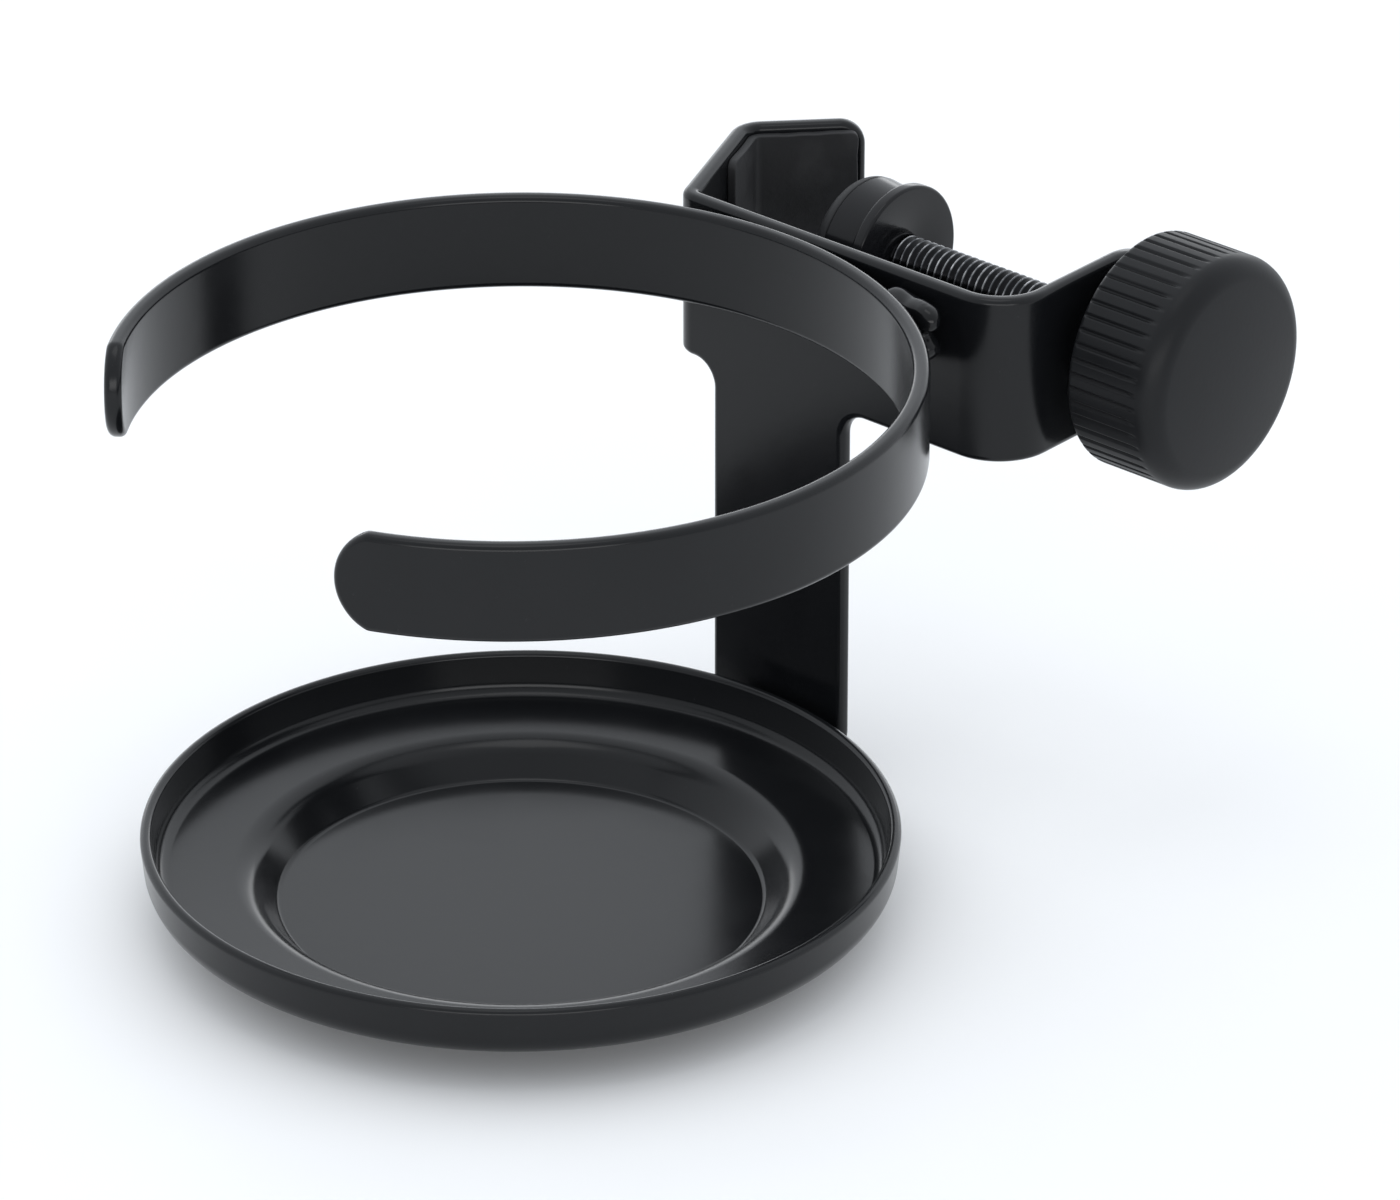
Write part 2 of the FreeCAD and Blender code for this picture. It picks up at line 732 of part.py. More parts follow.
MAKERS = (
    make_bracket, make_ring, make_ring_weld, make_tray, make_foot_weld, make_liner, make_nut,
    make_nut_weld, make_pad_disc, make_pad_face, make_clip, make_screw, make_knob,
)
sub_parts = [make() for make in MAKERS]
doc.recompute()
for item in doc.Objects:
    if "Invalid" in item.State or "Error" in item.State:
        raise RuntimeError("%s failed: %s" % (item.Name, item.State))
for part in sub_parts:
    if part.Shape.isNull() or not part.Shape.isValid() or not part.Shape.Solids:
        raise RuntimeError("%s has no valid solid" % part.Label)
os.makedirs("parts", exist_ok=True)
for part in sub_parts:
    part.Shape.exportStep("parts/%s.step" % part.Label)
    print("%-14s %d solid(s) %9.1f mm3" % (part.Label, len(part.Shape.Solids), part.Shape.Volume))
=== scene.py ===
import math

import bmesh
import bpy
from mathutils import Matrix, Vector, noise


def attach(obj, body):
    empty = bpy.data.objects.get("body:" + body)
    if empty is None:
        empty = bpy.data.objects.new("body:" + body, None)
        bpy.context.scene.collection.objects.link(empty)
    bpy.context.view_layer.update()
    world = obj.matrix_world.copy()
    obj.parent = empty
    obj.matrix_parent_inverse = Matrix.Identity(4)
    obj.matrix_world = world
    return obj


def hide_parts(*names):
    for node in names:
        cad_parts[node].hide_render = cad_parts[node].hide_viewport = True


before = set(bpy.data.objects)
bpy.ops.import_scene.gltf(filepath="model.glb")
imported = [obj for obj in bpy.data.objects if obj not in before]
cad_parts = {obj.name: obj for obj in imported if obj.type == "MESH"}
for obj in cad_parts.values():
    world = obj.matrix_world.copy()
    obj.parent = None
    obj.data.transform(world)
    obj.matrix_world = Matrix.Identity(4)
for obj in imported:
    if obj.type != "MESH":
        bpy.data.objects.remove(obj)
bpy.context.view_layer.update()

# Clamp-on cup holder: an open strip ring over a dished tray, on one bent bracket with a V-jaw tube
# clamp. Shapes are worked out in millimetres, in the frame's axes, and made into metres at the end.

MM = 0.001

# in millimetres: points closer than MERGE become one, and roundings that would meet stay HAIR apart
MERGE = 1e-4
HAIR = 0.01

# cup ring; its two tips are angles in degrees from +X
RING_RADIUS = 45.0
RING_TOP = 67.6
RING_HEIGHT = 11.4
STRIP = 2.0
EDGE_ROUND = 0.8
RING_RIGHT_TIP = -72.9
RING_LEFT_TIP = -139.6
RING_END_DEPTH = 3.85
RING_END_CORNER = 1.6
RING_SPLITS = 196

# tray: corners of its underside as (radius, height); the ledge falls a little towards the recess
TRAY_SHEET = 1.3
TRAY_HUB = (4.0, 0.0)
RECESS_EDGE = (27.9, 0.0)
LEDGE_INNER = (31.0, 3.85)
LEDGE_OUTER = (41.9, 4.4)
TRAY_RIM = (42.5, 10.5)
FLOOR_BEND = 0.8
LEDGE_BEND = 2.7
WALL_BEND = 1.6
TRAY_STEPS = 240

# bracket; STEM is the stem's left and right side
BAND_HEIGHT = 20.0
BAND_BOTTOM = RING_TOP - BAND_HEIGHT
STEM = (-11.3, 8.15)
STEM_FLARE = 3.0
FOOT_TOP = 4.5
FOOT_END = 33.0
FOOT_BEND = 2.2
FOOT_CORNER = 0.9
WING_OUTER = 32.1
WING_BEND = 5.0
CORNER = (-16.3, RING_RADIUS)
CORNER_BEND = 0.8
JAW_APEX_X = -24.6
JAW_APEX_BEND = 2.0
JAW_END = (-14.6, 75.2)
JAW_END_CORNER = 3.0
PLATE_STRETCH = 4  # of the band's route: the straight from which the stem hangs

# clamp screw, along X through SCREW_Y and SCREW_Z; all places along X are those at rest
SCREW_Y = 64.5
SCREW_Z = RING_TOP - BAND_HEIGHT / 2
PITCH = 1.0
SCREW_RADIUS = 3.0
SCREW_STEPS = 72
THREAD_ROOT = 2.42
CREST_ROUND = 0.02
ROOT_ROUND = 0.03
RUN_OUT_SLOPE = 1.2
CREST_HIGHLIGHT_FROM = 2.86  # radius outside which the crests carry a painted highlight
TIP = -2.9
TIP_ROUND = 0.4
COLLAR = 0.7
NECK = 2.2
NECK_LAP = 0.2  # how far the neck reaches into the thread
CLIP_SHEET = 0.6
HEAD_START = 39.2
HEAD_HEIGHT = 4.0
HEAD_LAP = 0.1  # how far the thread reaches into the head
CAP_RADIUS = 0.5  # at which head and knob are closed by a flat cap

# bore in wing and nut, and the nut; the head inside the knob has the nut's flats
BORE_RADIUS = 3.05
BORE_STEPS = 64
NUT_FLATS = 10.0
NUT_HEIGHT = 3.0
NUT_STEPS = 96
CHAMFER_START = 0.97  # of half the flats
CHAMFER_ANGLE = 30.0

# pressure pad and its facing
PART_GAP = 0.3
PAD_BACK = 0.9
PAD_FRONT = -4.9
PAD_FLANGE = 1.6
PAD_RADIUS = 8.8
PAD_BODY_RADIUS = 7.7
PAD_FRONT_RADIUS = 8.2
PAD_ROUND = 0.4
PAD_SEAM_ROUND = 0.06
PAD_STEPS = 160
GROOVE_RADIUS = 4.0
FACE_FRONT = -6.9
FACE_RADIUS = 8.15
FACE_ROUND = 1.6

# knob
KNOB_BACK = 35.6
KNOB_FRONT = 48.7
KNOB_RADIUS = 13.65
KNOB_ROUND = 2.8
KNOB_BACK_ROUND = 0.8
KNOB_DOME = 100.0
KNOB_CAP_ANGLE = 0.3
KNOB_ROWS = 18
RIB_COUNT = 50
RIB_STEPS = 18
RIB_DEPTH = 0.3
RIB_WIDTH = 0.6
RIB_END = 45.4
RIB_RUN_OUT = 1.6

# rubber liner of the jaw
LINER_SHEET = 1.0
LINER_INSET = 0.9
LINER_LEAD = 8.5
LINER_MARGIN = 1.0
LINER_CORNER = 0.9
LINER_EDGE = 0.15
LINER_EDGE_STEP = 0.7
LINER_WAVE = 0.15
LINER_WAVE_LENGTH = 2.5
LINER_WAVE_STARTS = ((3.3, 7.7, 1.9), (5.2, 2.4, 8.6))

# weld beads; the ring's are runs of balls between two balls (x, z, radius)
RING_BEADS = (((17.4, 64.6, 2.1), (23.2, 65.1, 1.6)), ((22.0, 62.6, 1.5), (22.9, 61.6, 1.7)),
              ((-14.2, 61.6, 1.9), (-13.6, 59.4, 2.1)))
BEAD_STEP = 0.7
BEAD_GRAIN = 0.22
BEAD_RIPPLE = 0.24
BEAD_RIPPLE_LENGTH = 2.0
BEAD_RIPPLE_START = (51.9, 15.3, 29.1)
BEAD_END = 0.25
SCALLOP_BASE = 0.86
SCALLOP_DEPTH = 0.12
SCALLOP_PITCH = 0.8
FOOT_BEAD = 1.2
FOOT_BEAD_START = 33.3
FOOT_BEAD_LENGTH = 4.4
NUT_BEAD = 1.0
NUT_BEAD_LENGTH = 4.4


# ---------------------------------------------------------------- outlines

def arc(centre, radius, start, end, step=6.0):
    """Points of an arc in degrees, both ends included, about one every step degrees."""
    count = max(2, math.ceil(abs(end - start) / step))
    angles = [math.radians(start + (end - start) * i / count) for i in range(count + 1)]
    return [(centre[0] + radius * math.cos(a), centre[1] + radius * math.sin(a)) for a in angles]


def rounded(corners, step=6.0):
    """Closed outline through corners (x, y, radius), each corner replaced by its tangent arc."""
    points = []
    for i, (x, y, radius) in enumerate(corners):
        here = Vector((x, y))
        before = (Vector(corners[i - 1][:2]) - here).normalized()
        after = (Vector(corners[(i + 1) % len(corners)][:2]) - here).normalized()
        if radius == 0:
            points.append((x, y))
            continue
        half = before.angle(after) / 2
        reach = radius / math.tan(half)
        centre = here + (before + after).normalized() * (radius / math.sin(half))
        start = here + before * reach - centre
        turn = start.angle_signed(here + after * reach - centre)
        first = math.degrees(math.atan2(start.y, start.x))
        points += arc(centre, radius, first, first - math.degrees(turn), step)
    return points


def strip_section(path, bends, thickness, end_round=0.0, step=6.0):
    """Outline of a bent sheet whose right-hand face follows path, the sheet lying to its left."""
    points = [Vector(p) for p in path]
    runs = [(b - a).normalized() for a, b in zip(points, points[1:])]
    lefts = [Vector((-run.y, run.x)) for run in runs]
    start = points[0] + lefts[0] * thickness
    right = [(*points[0], 0)]
    left = [(*start, 0)]
    for point, i, bend in zip(points[1:], range(len(bends)), bends):
        turn = runs[i].cross(runs[i + 1])
        miter = (lefts[i] + lefts[i + 1]).normalized()
        shifted = point + miter * (thickness / miter.dot(lefts[i]))
        right.append((*point, bend + thickness if turn > 0 else bend))
        left.append((*shifted, bend if turn > 0 else bend + thickness))
    end = points[-1] + lefts[-1] * thickness
    right.append((*points[-1], end_round))
    left.append((*end, end_round))
    return rounded(right + left[::-1], step)


# ---------------------------------------------------------------- meshes

def new_piece(name, bm, body, *replaced, slot=None):
    """Object from a bmesh in millimetres, riding on a body in place of CAD nodes."""
    bmesh.ops.remove_doubles(bm, verts=bm.verts, dist=MERGE)
    bmesh.ops.dissolve_degenerate(bm, edges=bm.edges, dist=MERGE)
    bmesh.ops.recalc_face_normals(bm, faces=bm.faces)
    for face in bm.faces:
        face.smooth = True
    for vert in bm.verts:
        vert.co *= MM
    mesh = bpy.data.meshes.new(name)
    bm.to_mesh(mesh)
    bm.free()
    piece = bpy.data.objects.new(name, mesh)
    bpy.context.scene.collection.objects.link(piece)
    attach(piece, body)
    if replaced:
        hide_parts(*replaced)
    return piece


def weight_normals(piece):
    """Keeps flat faces looking flat beside their small roundings."""
    modifier = piece.modifiers.new("even_normals", "WEIGHTED_NORMAL")
    modifier.mode = "FACE_AREA"
    modifier.weight = 100
    modifier.keep_sharp = True


def inset(points, distance):
    """A closed counter-clockwise outline moved inwards by distance."""
    moved = []
    for i, point in enumerate(points):
        here = Vector(point)
        before = (here - Vector(points[i - 1])).normalized()
        after = (Vector(points[(i + 1) % len(points)]) - here).normalized()
        normal = Vector((-before.y - after.y, before.x + after.x)).normalized()
        reach = distance / max(0.5, normal.dot(Vector((-before.y, before.x))))
        moved.append(here + normal * reach)
    return moved


def flat_sheet(outline, thickness, edge, cuts, segments=5):
    """Flat sheet with rounded edges: outline in x and y, thickness along z.

    It is split across at the cuts, each given as (normal, places along it).
    """
    bm = bmesh.new()
    quarter = [math.radians(90 * i / segments) for i in range(segments + 1)]
    levels = [(edge * (1 - math.sin(a)), edge * (1 - math.cos(a))) for a in quarter]
    levels += [(gone, thickness - depth) for gone, depth in levels[::-1]]
    loops = []
    for gone, depth in levels:
        loops.append([bm.verts.new((p[0], p[1], depth)) for p in inset(outline, gone)])
    for lower, upper in zip(loops, loops[1:]):
        for i in range(len(lower)):
            j = (i + 1) % len(lower)
            bm.faces.new((lower[i], lower[j], upper[j], upper[i]))
    bm.faces.new(loops[0][::-1])
    bm.faces.new(loops[-1])
    for normal, places in cuts:
        for place in places:
            geometry = bm.verts[:] + bm.edges[:] + bm.faces[:]
            bmesh.ops.bisect_plane(bm, geom=geometry, dist=MERGE / 10,
                                   plane_co=Vector(normal) * place, plane_no=normal)
    return bm


def bend_route(path, radii):
    """Unrolled route along a polyline with rounded corners: straight runs and arcs in turn.

    Each stretch is (start length, length, start point, start direction, turning per length).
    """
    points = [Vector(p) for p in path]
    stretches = []
    place, start = 0.0, points[0]
    for i in range(len(points) - 1):
        run = (points[i + 1] - points[i]).normalized()
        end, angle, radius = points[i + 1], 0.0, 0.0
        if i < len(radii):
            following = (points[i + 2] - points[i + 1]).normalized()
            angle = math.atan2(run.cross(following), run.dot(following))
            radius = radii[i]
            end = points[i + 1] - run * (radius * math.tan(abs(angle) / 2))
        length = (end - start).length
        stretches.append((place, length, start, run, 0.0))
        place += length
        if angle:
            turned = abs(angle) * radius
            stretches.append((place, turned, end, run, angle / turned))
            place += turned
            start = points[i + 1] + following * (radius * math.tan(abs(angle) / 2))
    return stretches


def route_at(stretches, place):
    """Point and left-hand normal at a length along the route."""
    for begin, length, start, run, turning in stretches:
        if place <= begin + length or (begin, length) == stretches[-1][:2]:
            break
    along = place - begin
    left = Vector((-run.y, run.x))
    if not turning:
        return start + run * along, left
    angle = turning * along
    radius = 1 / turning
    point = start + run * (math.sin(angle) * radius) + left * ((1 - math.cos(angle)) * radius)
    return point, left * math.cos(angle) - run * math.sin(angle)


def bend_cuts(stretches, step):
    """Lengths at which a sheet is split so that it bends smoothly along the route."""
    places = []
    for begin, length, _, _, turning in stretches:
        if turning:
            count = max(1, math.ceil(math.degrees(abs(turning * length)) / step))
            places += [begin + length * i / count for i in range(count + 1)]
    return places


def lathe(section, steps, axis_point, closed=True, shape=None):
    """Solid turned about +X through axis_point from points (x, radius).

    shape, if given, changes the radius: it takes x, radius and the angle.
    """
    bm = bmesh.new()
    rows = []
    for x, radius in section:
        if radius < MERGE:
            rows.append([bm.verts.new((x, axis_point[0], axis_point[1]))])
            continue
        row = []
        for i in range(steps):
            angle = 2 * math.pi * i / steps
            r = shape(x, radius, angle) if shape else radius
            y, z = axis_point[0] + r * math.cos(angle), axis_point[1] + r * math.sin(angle)
            row.append(bm.verts.new((x, y, z)))
        rows.append(row)
    pairs = list(zip(rows, rows[1:]))
    if closed:
        pairs.append((rows[-1], rows[0]))
    for a, b in pairs:
        if len(a) == 1 and len(b) == 1:
            continue
        for i in range(steps):
            j = (i + 1) % steps
            corners = [a[i % len(a)], a[j % len(a)], b[j % len(b)], b[i % len(b)]]
            unique = list(dict.fromkeys(corners))
            if len(unique) > 2:
                bm.faces.new(unique)
    if not closed:
        for row in (rows[0], rows[-1]):
            if len(row) > 1:
                bm.faces.new(row)
    return bm


def stand_up(bm):
    """Turns a lathed solid from the X axis to the Z axis."""
    for vert in bm.verts:
        vert.co = Vector((vert.co.y, vert.co.z, vert.co.x))
    return bm


def dense(points, longest):
    """Closed outline with its long sides divided."""
    result = []
    for a, b in zip(points, points[1:] + points[:1]):
        a, b = Vector(a), Vector(b)
        count = max(1, math.ceil((b - a).length / longest))
        result += [tuple(a.lerp(b, i / count)) for i in range(count)]
    return result


def ripple(bm, amount, length, start):
    """Moves every vertex a little along its normal, by noise that begins at start."""
    bm.normal_update()
    start = Vector(start)
    moves = [(v, v.normal * (amount * noise.noise(v.co / length + start))) for v in bm.verts]
    for vert, move in moves:
        vert.co += move


def joined(parts):
    """One bmesh from several closed shells."""
    whole = bmesh.new()
    for part in parts:
        mesh = bpy.data.meshes.new("shell")
        part.to_mesh(mesh)
        part.free()
        whole.from_mesh(mesh)
        bpy.data.meshes.remove(mesh)
    return whole


def worked(bm, *settings):
    """The bmesh after a chain of modifiers, each given as (kind, {setting: value})."""
    mesh = bpy.data.meshes.new("work")
    bm.to_mesh(mesh)
    bm.free()
    work = bpy.data.objects.new("work", mesh)
    bpy.context.scene.collection.objects.link(work)
    for kind, values in settings:
        modifier = work.modifiers.new(kind.lower(), kind)
        for key, value in values.items():
            setattr(modifier, key, value)
    result = bmesh.new()
    result.from_object(work, bpy.context.evaluated_depsgraph_get())
    bpy.data.objects.remove(work)
    bpy.data.meshes.remove(mesh)
    return result


# ---------------------------------------------------------------- materials

class Nodes:
    """Short calls for building one material's node tree."""

    COLOUR_INPUTS = (6, 7)  # of a Mix node that mixes colours
    COLOUR_OUTPUT = 2

    def __init__(self, name):
        self.material = bpy.data.materials.new(name)
        self.material.use_nodes = True
        self.tree = self.material.node_tree
        self.shader = self.tree.nodes["Principled BSDF"]
        coordinates = self.tree.nodes.new("ShaderNodeTexCoord")
        self.place = coordinates.outputs["Object"]

    def link(self, source, target):
        """Joins two sockets."""
        self.tree.links.new(source, target)

    def noise(self, scale, detail=2.0, roughness=0.5):
        """Noise whose grains are about 1/scale metres across."""
        node = self.tree.nodes.new("ShaderNodeTexNoise")
        node.inputs["Scale"].default_value = scale
        node.inputs["Detail"].default_value = detail
        node.inputs["Roughness"].default_value = roughness
        self.link(self.place, node.inputs["Vector"])
        return node.outputs["Fac"]

    def ramp(self, source, low, high, start=0.3, end=0.7):
        """Maps start..end of a value to low..high."""
        node = self.tree.nodes.new("ShaderNodeMapRange")
        node.inputs["From Min"].default_value = start
        node.inputs["From Max"].default_value = end
        node.inputs["To Min"].default_value = low
        node.inputs["To Max"].default_value = high
        self.link(source, node.inputs["Value"])
        return node.outputs["Result"]

    def mix(self, factor, a, b):
        """Colour between a and b, each a colour or a socket."""
        node = self.tree.nodes.new("ShaderNodeMix")
        node.data_type = "RGBA"
        self.link(factor, node.inputs["Factor"])
        for value, index in zip((a, b), self.COLOUR_INPUTS):
            if isinstance(value, tuple):
                node.inputs[index].default_value = (*value, 1)
            else:
                self.link(value, node.inputs[index])
        return node.outputs[self.COLOUR_OUTPUT]

    def bump(self, height, distance, strength, below=None):
        """Normal raised by a height, distance in metres, on top of another bump if given."""
        node = self.tree.nodes.new("ShaderNodeBump")
        node.inputs["Distance"].default_value = distance
        node.inputs["Strength"].default_value = strength
        self.link(height, node.inputs["Height"])
        if below:
            self.link(below, node.inputs["Normal"])
        return node.outputs["Normal"]

    def off_axis(self, y, z):
        """Distance in metres from the line along X through y, z, given in millimetres."""
        shift = self.tree.nodes.new("ShaderNodeVectorMath")
        shift.operation = "SUBTRACT"
        shift.inputs[1].default_value = (0, y * MM, z * MM)
        self.link(self.place, shift.inputs[0])
        flatten = self.tree.nodes.new("ShaderNodeVectorMath")
        flatten.operation = "MULTIPLY"
        flatten.inputs[1].default_value = (0, 1, 1)
        self.link(shift.outputs["Vector"], flatten.inputs[0])
        reach = self.tree.nodes.new("ShaderNodeVectorMath")
        reach.operation = "LENGTH"
        self.link(flatten.outputs["Vector"], reach.inputs[0])
        return reach.outputs["Value"]

    def hollows(self, start, end):
        """0 on flat places and outer edges, 1 in hollows."""
        node = self.tree.nodes.new("ShaderNodeNewGeometry")
        return self.ramp(node.outputs["Pointiness"], 0.0, 1.0, start, end)

    def finished(self, colour, roughness, normal, ior=None, metallic=0.0):
        """The material, once its shader has these inputs."""
        inputs = self.shader.inputs
        self.link(colour, inputs["Base Color"])
        self.link(roughness, inputs["Roughness"])
        self.link(normal, inputs["Normal"])
        if ior:
            inputs["IOR"].default_value = ior
        inputs["Metallic"].default_value = metallic
        return self.material


def powder_coat():
    """Smooth semi-gloss black coat: faint orange peel, cloudiness and a few dust specks."""
    n = Nodes("powder_coat")
    cloud = n.noise(55, 3, 0.6)
    colour = n.mix(n.ramp(cloud, 0, 1), (0.0045, 0.005, 0.0058), (0.0065, 0.007, 0.008))
    dust = n.ramp(n.noise(2600, 2, 0.5), 0, 1, 0.74, 0.8)
    dusty = n.mix(dust, colour, (0.02, 0.021, 0.023))
    peel = n.bump(n.noise(420, 2, 0.45), 0.000012, 0.5)
    grain = n.bump(n.noise(1900, 1, 0.5), 0.000002, 0.4, peel)
    return n.finished(dusty, n.ramp(cloud, 0.17, 0.23), grain, ior=1.35)


def weld_coat():
    """The same coat over a weld bead: thicker, glossier and lumpier."""
    n = Nodes("weld_coat")
    lumps = n.noise(320, 2, 0.5)
    colour = n.mix(n.ramp(lumps, 0, 1), (0.004, 0.0044, 0.0052), (0.006, 0.0064, 0.0072))
    return n.finished(colour, n.ramp(lumps, 0.1, 0.18), n.bump(lumps, 0.00003, 0.5), ior=1.35)


def black_oxide():
    """Oiled black oxide on the rolled thread, dark in the roots; a painted highlight along the crests,
    brighter in painted glint patches.
    """
    n = Nodes("black_oxide")
    stain = n.noise(400, 3, 0.6)
    # painted highlight: the crests are painted bright steel, masked by distance from the screw's axis
    crest = n.ramp(n.off_axis(SCREW_Y, SCREW_Z), 0, 1, CREST_HIGHLIGHT_FROM * MM, SCREW_RADIUS * MM)
    dark = n.mix(n.ramp(stain, 0, 1), (0.004, 0.0043, 0.005), (0.011, 0.0115, 0.013))
    # painted glints: patches along the crests painted brighter still
    glint_patches = n.ramp(n.noise(620, 2, 0.6), 0, 1, 0.45, 0.7)
    crest_highlight = n.mix(glint_patches, (0.12, 0.124, 0.132), (0.6, 0.6, 0.61))
    grain = n.bump(n.noise(3500, 2, 0.6), 0.000006, 0.5)
    return n.finished(n.mix(crest, dark, crest_highlight), n.ramp(stain, 0.18, 0.3), grain, metallic=0.85)


def knob_plastic():
    """Matte moulded plastic with a fine eroded texture, with painted shade darkening the grooves between
    the ribs.
    """
    n = Nodes("knob_plastic")
    cloud = n.noise(90, 3, 0.55)
    colour = n.mix(n.ramp(cloud, 0, 1), (0.008, 0.0084, 0.0094), (0.011, 0.0115, 0.0127))
    # painted shade: the grooves between the ribs are painted darker
    groove_shaded = n.mix(n.hollows(0.5, 0.42), colour, (0.006, 0.0062, 0.007))
    coarse = n.bump(n.noise(1500, 3, 0.6), 0.00002, 0.45)
    fine = n.bump(n.noise(5000, 1, 0.5), 0.000006, 0.4, coarse)
    return n.finished(groove_shaded, n.ramp(cloud, 0.34, 0.44), fine, ior=1.27)


def pad_plastic():
    """Glossy black plastic of the pressure disc, faintly wavy and cloudy."""
    n = Nodes("pad_plastic")
    cloud = n.noise(120, 2, 0.5)
    colour = n.mix(n.ramp(cloud, 0, 1), (0.006, 0.0062, 0.0072), (0.009, 0.0092, 0.0105))
    waves = n.bump(n.noise(500, 2, 0.5), 0.000008, 0.5)
    return n.finished(colour, n.ramp(cloud, 0.1, 0.17), waves, ior=1.33)


def liner_rubber():
    """Dull black rubber with a fine grain and pale worn spots."""
    n = Nodes("liner_rubber")
    rub = n.noise(160, 3, 0.6)
    colour = n.mix(n.ramp(rub, 0, 1, 0.45, 0.75), (0.018, 0.0182, 0.0195), (0.032, 0.0322, 0.034))
    grain = n.bump(n.noise(1300, 4, 0.65), 0.00006, 0.6)
    return n.finished(colour, n.ramp(rub, 0.5, 0.66), grain, ior=1.37)


def spring_steel():
    """Phosphated retaining ring."""
    n = Nodes("spring_steel")
    stain = n.noise(700, 3, 0.6)
    colour = n.mix(n.ramp(stain, 0, 1), (0.14, 0.14, 0.145), (0.24, 0.24, 0.245))
    return n.finished(colour, n.ramp(stain, 0.35, 0.5), n.bump(stain, 0.00001, 0.4), metallic=0.9)


def dress(piece, material):
    """Gives the piece one material in place of what it had."""
    piece.data.materials.clear()
    piece.data.materials.append(material)


# ---------------------------------------------------------------- ring and tray

def tip_outline():
    """Rounded end of the ring's strip, from its lower to its upper edge; the tip is at x = 0."""
    half = RING_HEIGHT / 2
    corner = RING_END_CORNER
    radius = (half ** 2 + RING_END_DEPTH ** 2) / (2 * RING_END_DEPTH)
    shoulder = math.sqrt((radius - corner) ** 2 - (half - corner) ** 2) - radius
    lean = math.degrees(math.atan2(half - corner, shoulder + radius))
    low = arc((shoulder, corner), corner, -90, -lean, step=10)
    middle = arc((-radius, half), radius, -lean, lean, step=3)
    high = arc((shoulder, RING_HEIGHT - corner), corner, lean, 90, step=10)
    return low + middle[1:-1] + high


def build_ring():
    """Open ring, rolled up from a flat strip with rounded edges and ends."""
    sweep = math.radians(RING_LEFT_TIP + 360 - RING_RIGHT_TIP)
    length = sweep * RING_RADIUS
    tip = tip_outline()
    outline = [(length + x, y) for x, y in tip] + [(-x, RING_HEIGHT - y) for x, y in tip]
    places = [length * i / RING_SPLITS for i in range(1, RING_SPLITS)]
    bm = flat_sheet(outline, STRIP, EDGE_ROUND, [((1, 0, 0), places)])
    for vert in bm.verts:
        along, level, depth = vert.co
        angle = math.radians(RING_RIGHT_TIP) + along / RING_RADIUS
        radius = RING_RADIUS - depth
        vert.co = (radius * math.cos(angle), radius * math.sin(angle),
                   RING_TOP - RING_HEIGHT + level)
    return bm


def build_tray():
    """Pressed tray, turned from the bent section of its sheet."""
    underside = [TRAY_HUB, RECESS_EDGE, LEDGE_INNER, LEDGE_OUTER, TRAY_RIM]
    section = strip_section(underside, [FLOOR_BEND, LEDGE_BEND, WALL_BEND], TRAY_SHEET,
                            TRAY_SHEET / 2 - HAIR, step=4)
    return stand_up(lathe([(z, r) for r, z in section], TRAY_STEPS, (0, 0), closed=False))


# ---------------------------------------------------------------- bracket and liner

def band_route():
    """Outer face of the band in plan, from the jaw's free end to the end of the wing."""
    path = [JAW_END, (JAW_APEX_X, SCREW_Y), CORNER, (WING_OUTER, RING_RADIUS),
            (WING_OUTER, SCREW_Y + BAND_HEIGHT / 2)]
    return bend_route(path, [JAW_APEX_BEND + STRIP, CORNER_BEND + STRIP, WING_BEND + STRIP])


def bracket_blank(band, foot):
    """Flat outline of band, stem and foot; x runs along the band and y up."""
    plate_start, _, plate_corner, _, _ = band[PLATE_STRETCH]
    length = band[-1][0] + band[-1][1]
    left = plate_start + STEM[0] - plate_corner.x
    right = plate_start + STEM[1] - plate_corner.x
    toe = BAND_BOTTOM - foot[-1][0] - foot[-1][1]
    half = BAND_HEIGHT / 2 - HAIR
    return rounded([
        (0, BAND_BOTTOM, JAW_END_CORNER),
        (left, BAND_BOTTOM, STEM_FLARE),
        (left, toe, FOOT_CORNER),
        (right, toe, FOOT_CORNER),
        (right, BAND_BOTTOM, STEM_FLARE),
        (length, BAND_BOTTOM, half),
        (length, RING_TOP, half),
        (0, RING_TOP, JAW_END_CORNER),
    ], step=5)


def build_bracket():
    """Band, stem and foot as one flat blank, folded up, with the screw's bore in the wing."""
    band = band_route()
    foot = bend_route([(RING_RADIUS, BAND_BOTTOM), (RING_RADIUS, FOOT_TOP), (FOOT_END, FOOT_TOP)],
                      [FOOT_BEND])
    plate_start, _, plate_corner, _, _ = band[PLATE_STRETCH]
    cuts = [((1, 0, 0), bend_cuts(band, step=4)),
            ((0, 1, 0), [BAND_BOTTOM - place for place in bend_cuts(foot, step=6)])]
    bm = flat_sheet(bracket_blank(band, foot), STRIP, EDGE_ROUND, cuts)
    for vert in bm.verts:
        place, level, depth = vert.co
        if level < BAND_BOTTOM - HAIR:
            point, inner = route_at(foot, BAND_BOTTOM - level)
            point += inner * depth
            vert.co = (plate_corner.x + place - plate_start, point.x, point.y)
        else:
            point, inner = route_at(band, place)
            point += inner * depth
            vert.co = (point.x, point.y, level)
    drill = lathe([(WING_OUTER - 2 * STRIP, BORE_RADIUS), (WING_OUTER + STRIP, BORE_RADIUS)],
                  BORE_STEPS, (SCREW_Y, SCREW_Z), closed=False)
    return bored(bm, drill)


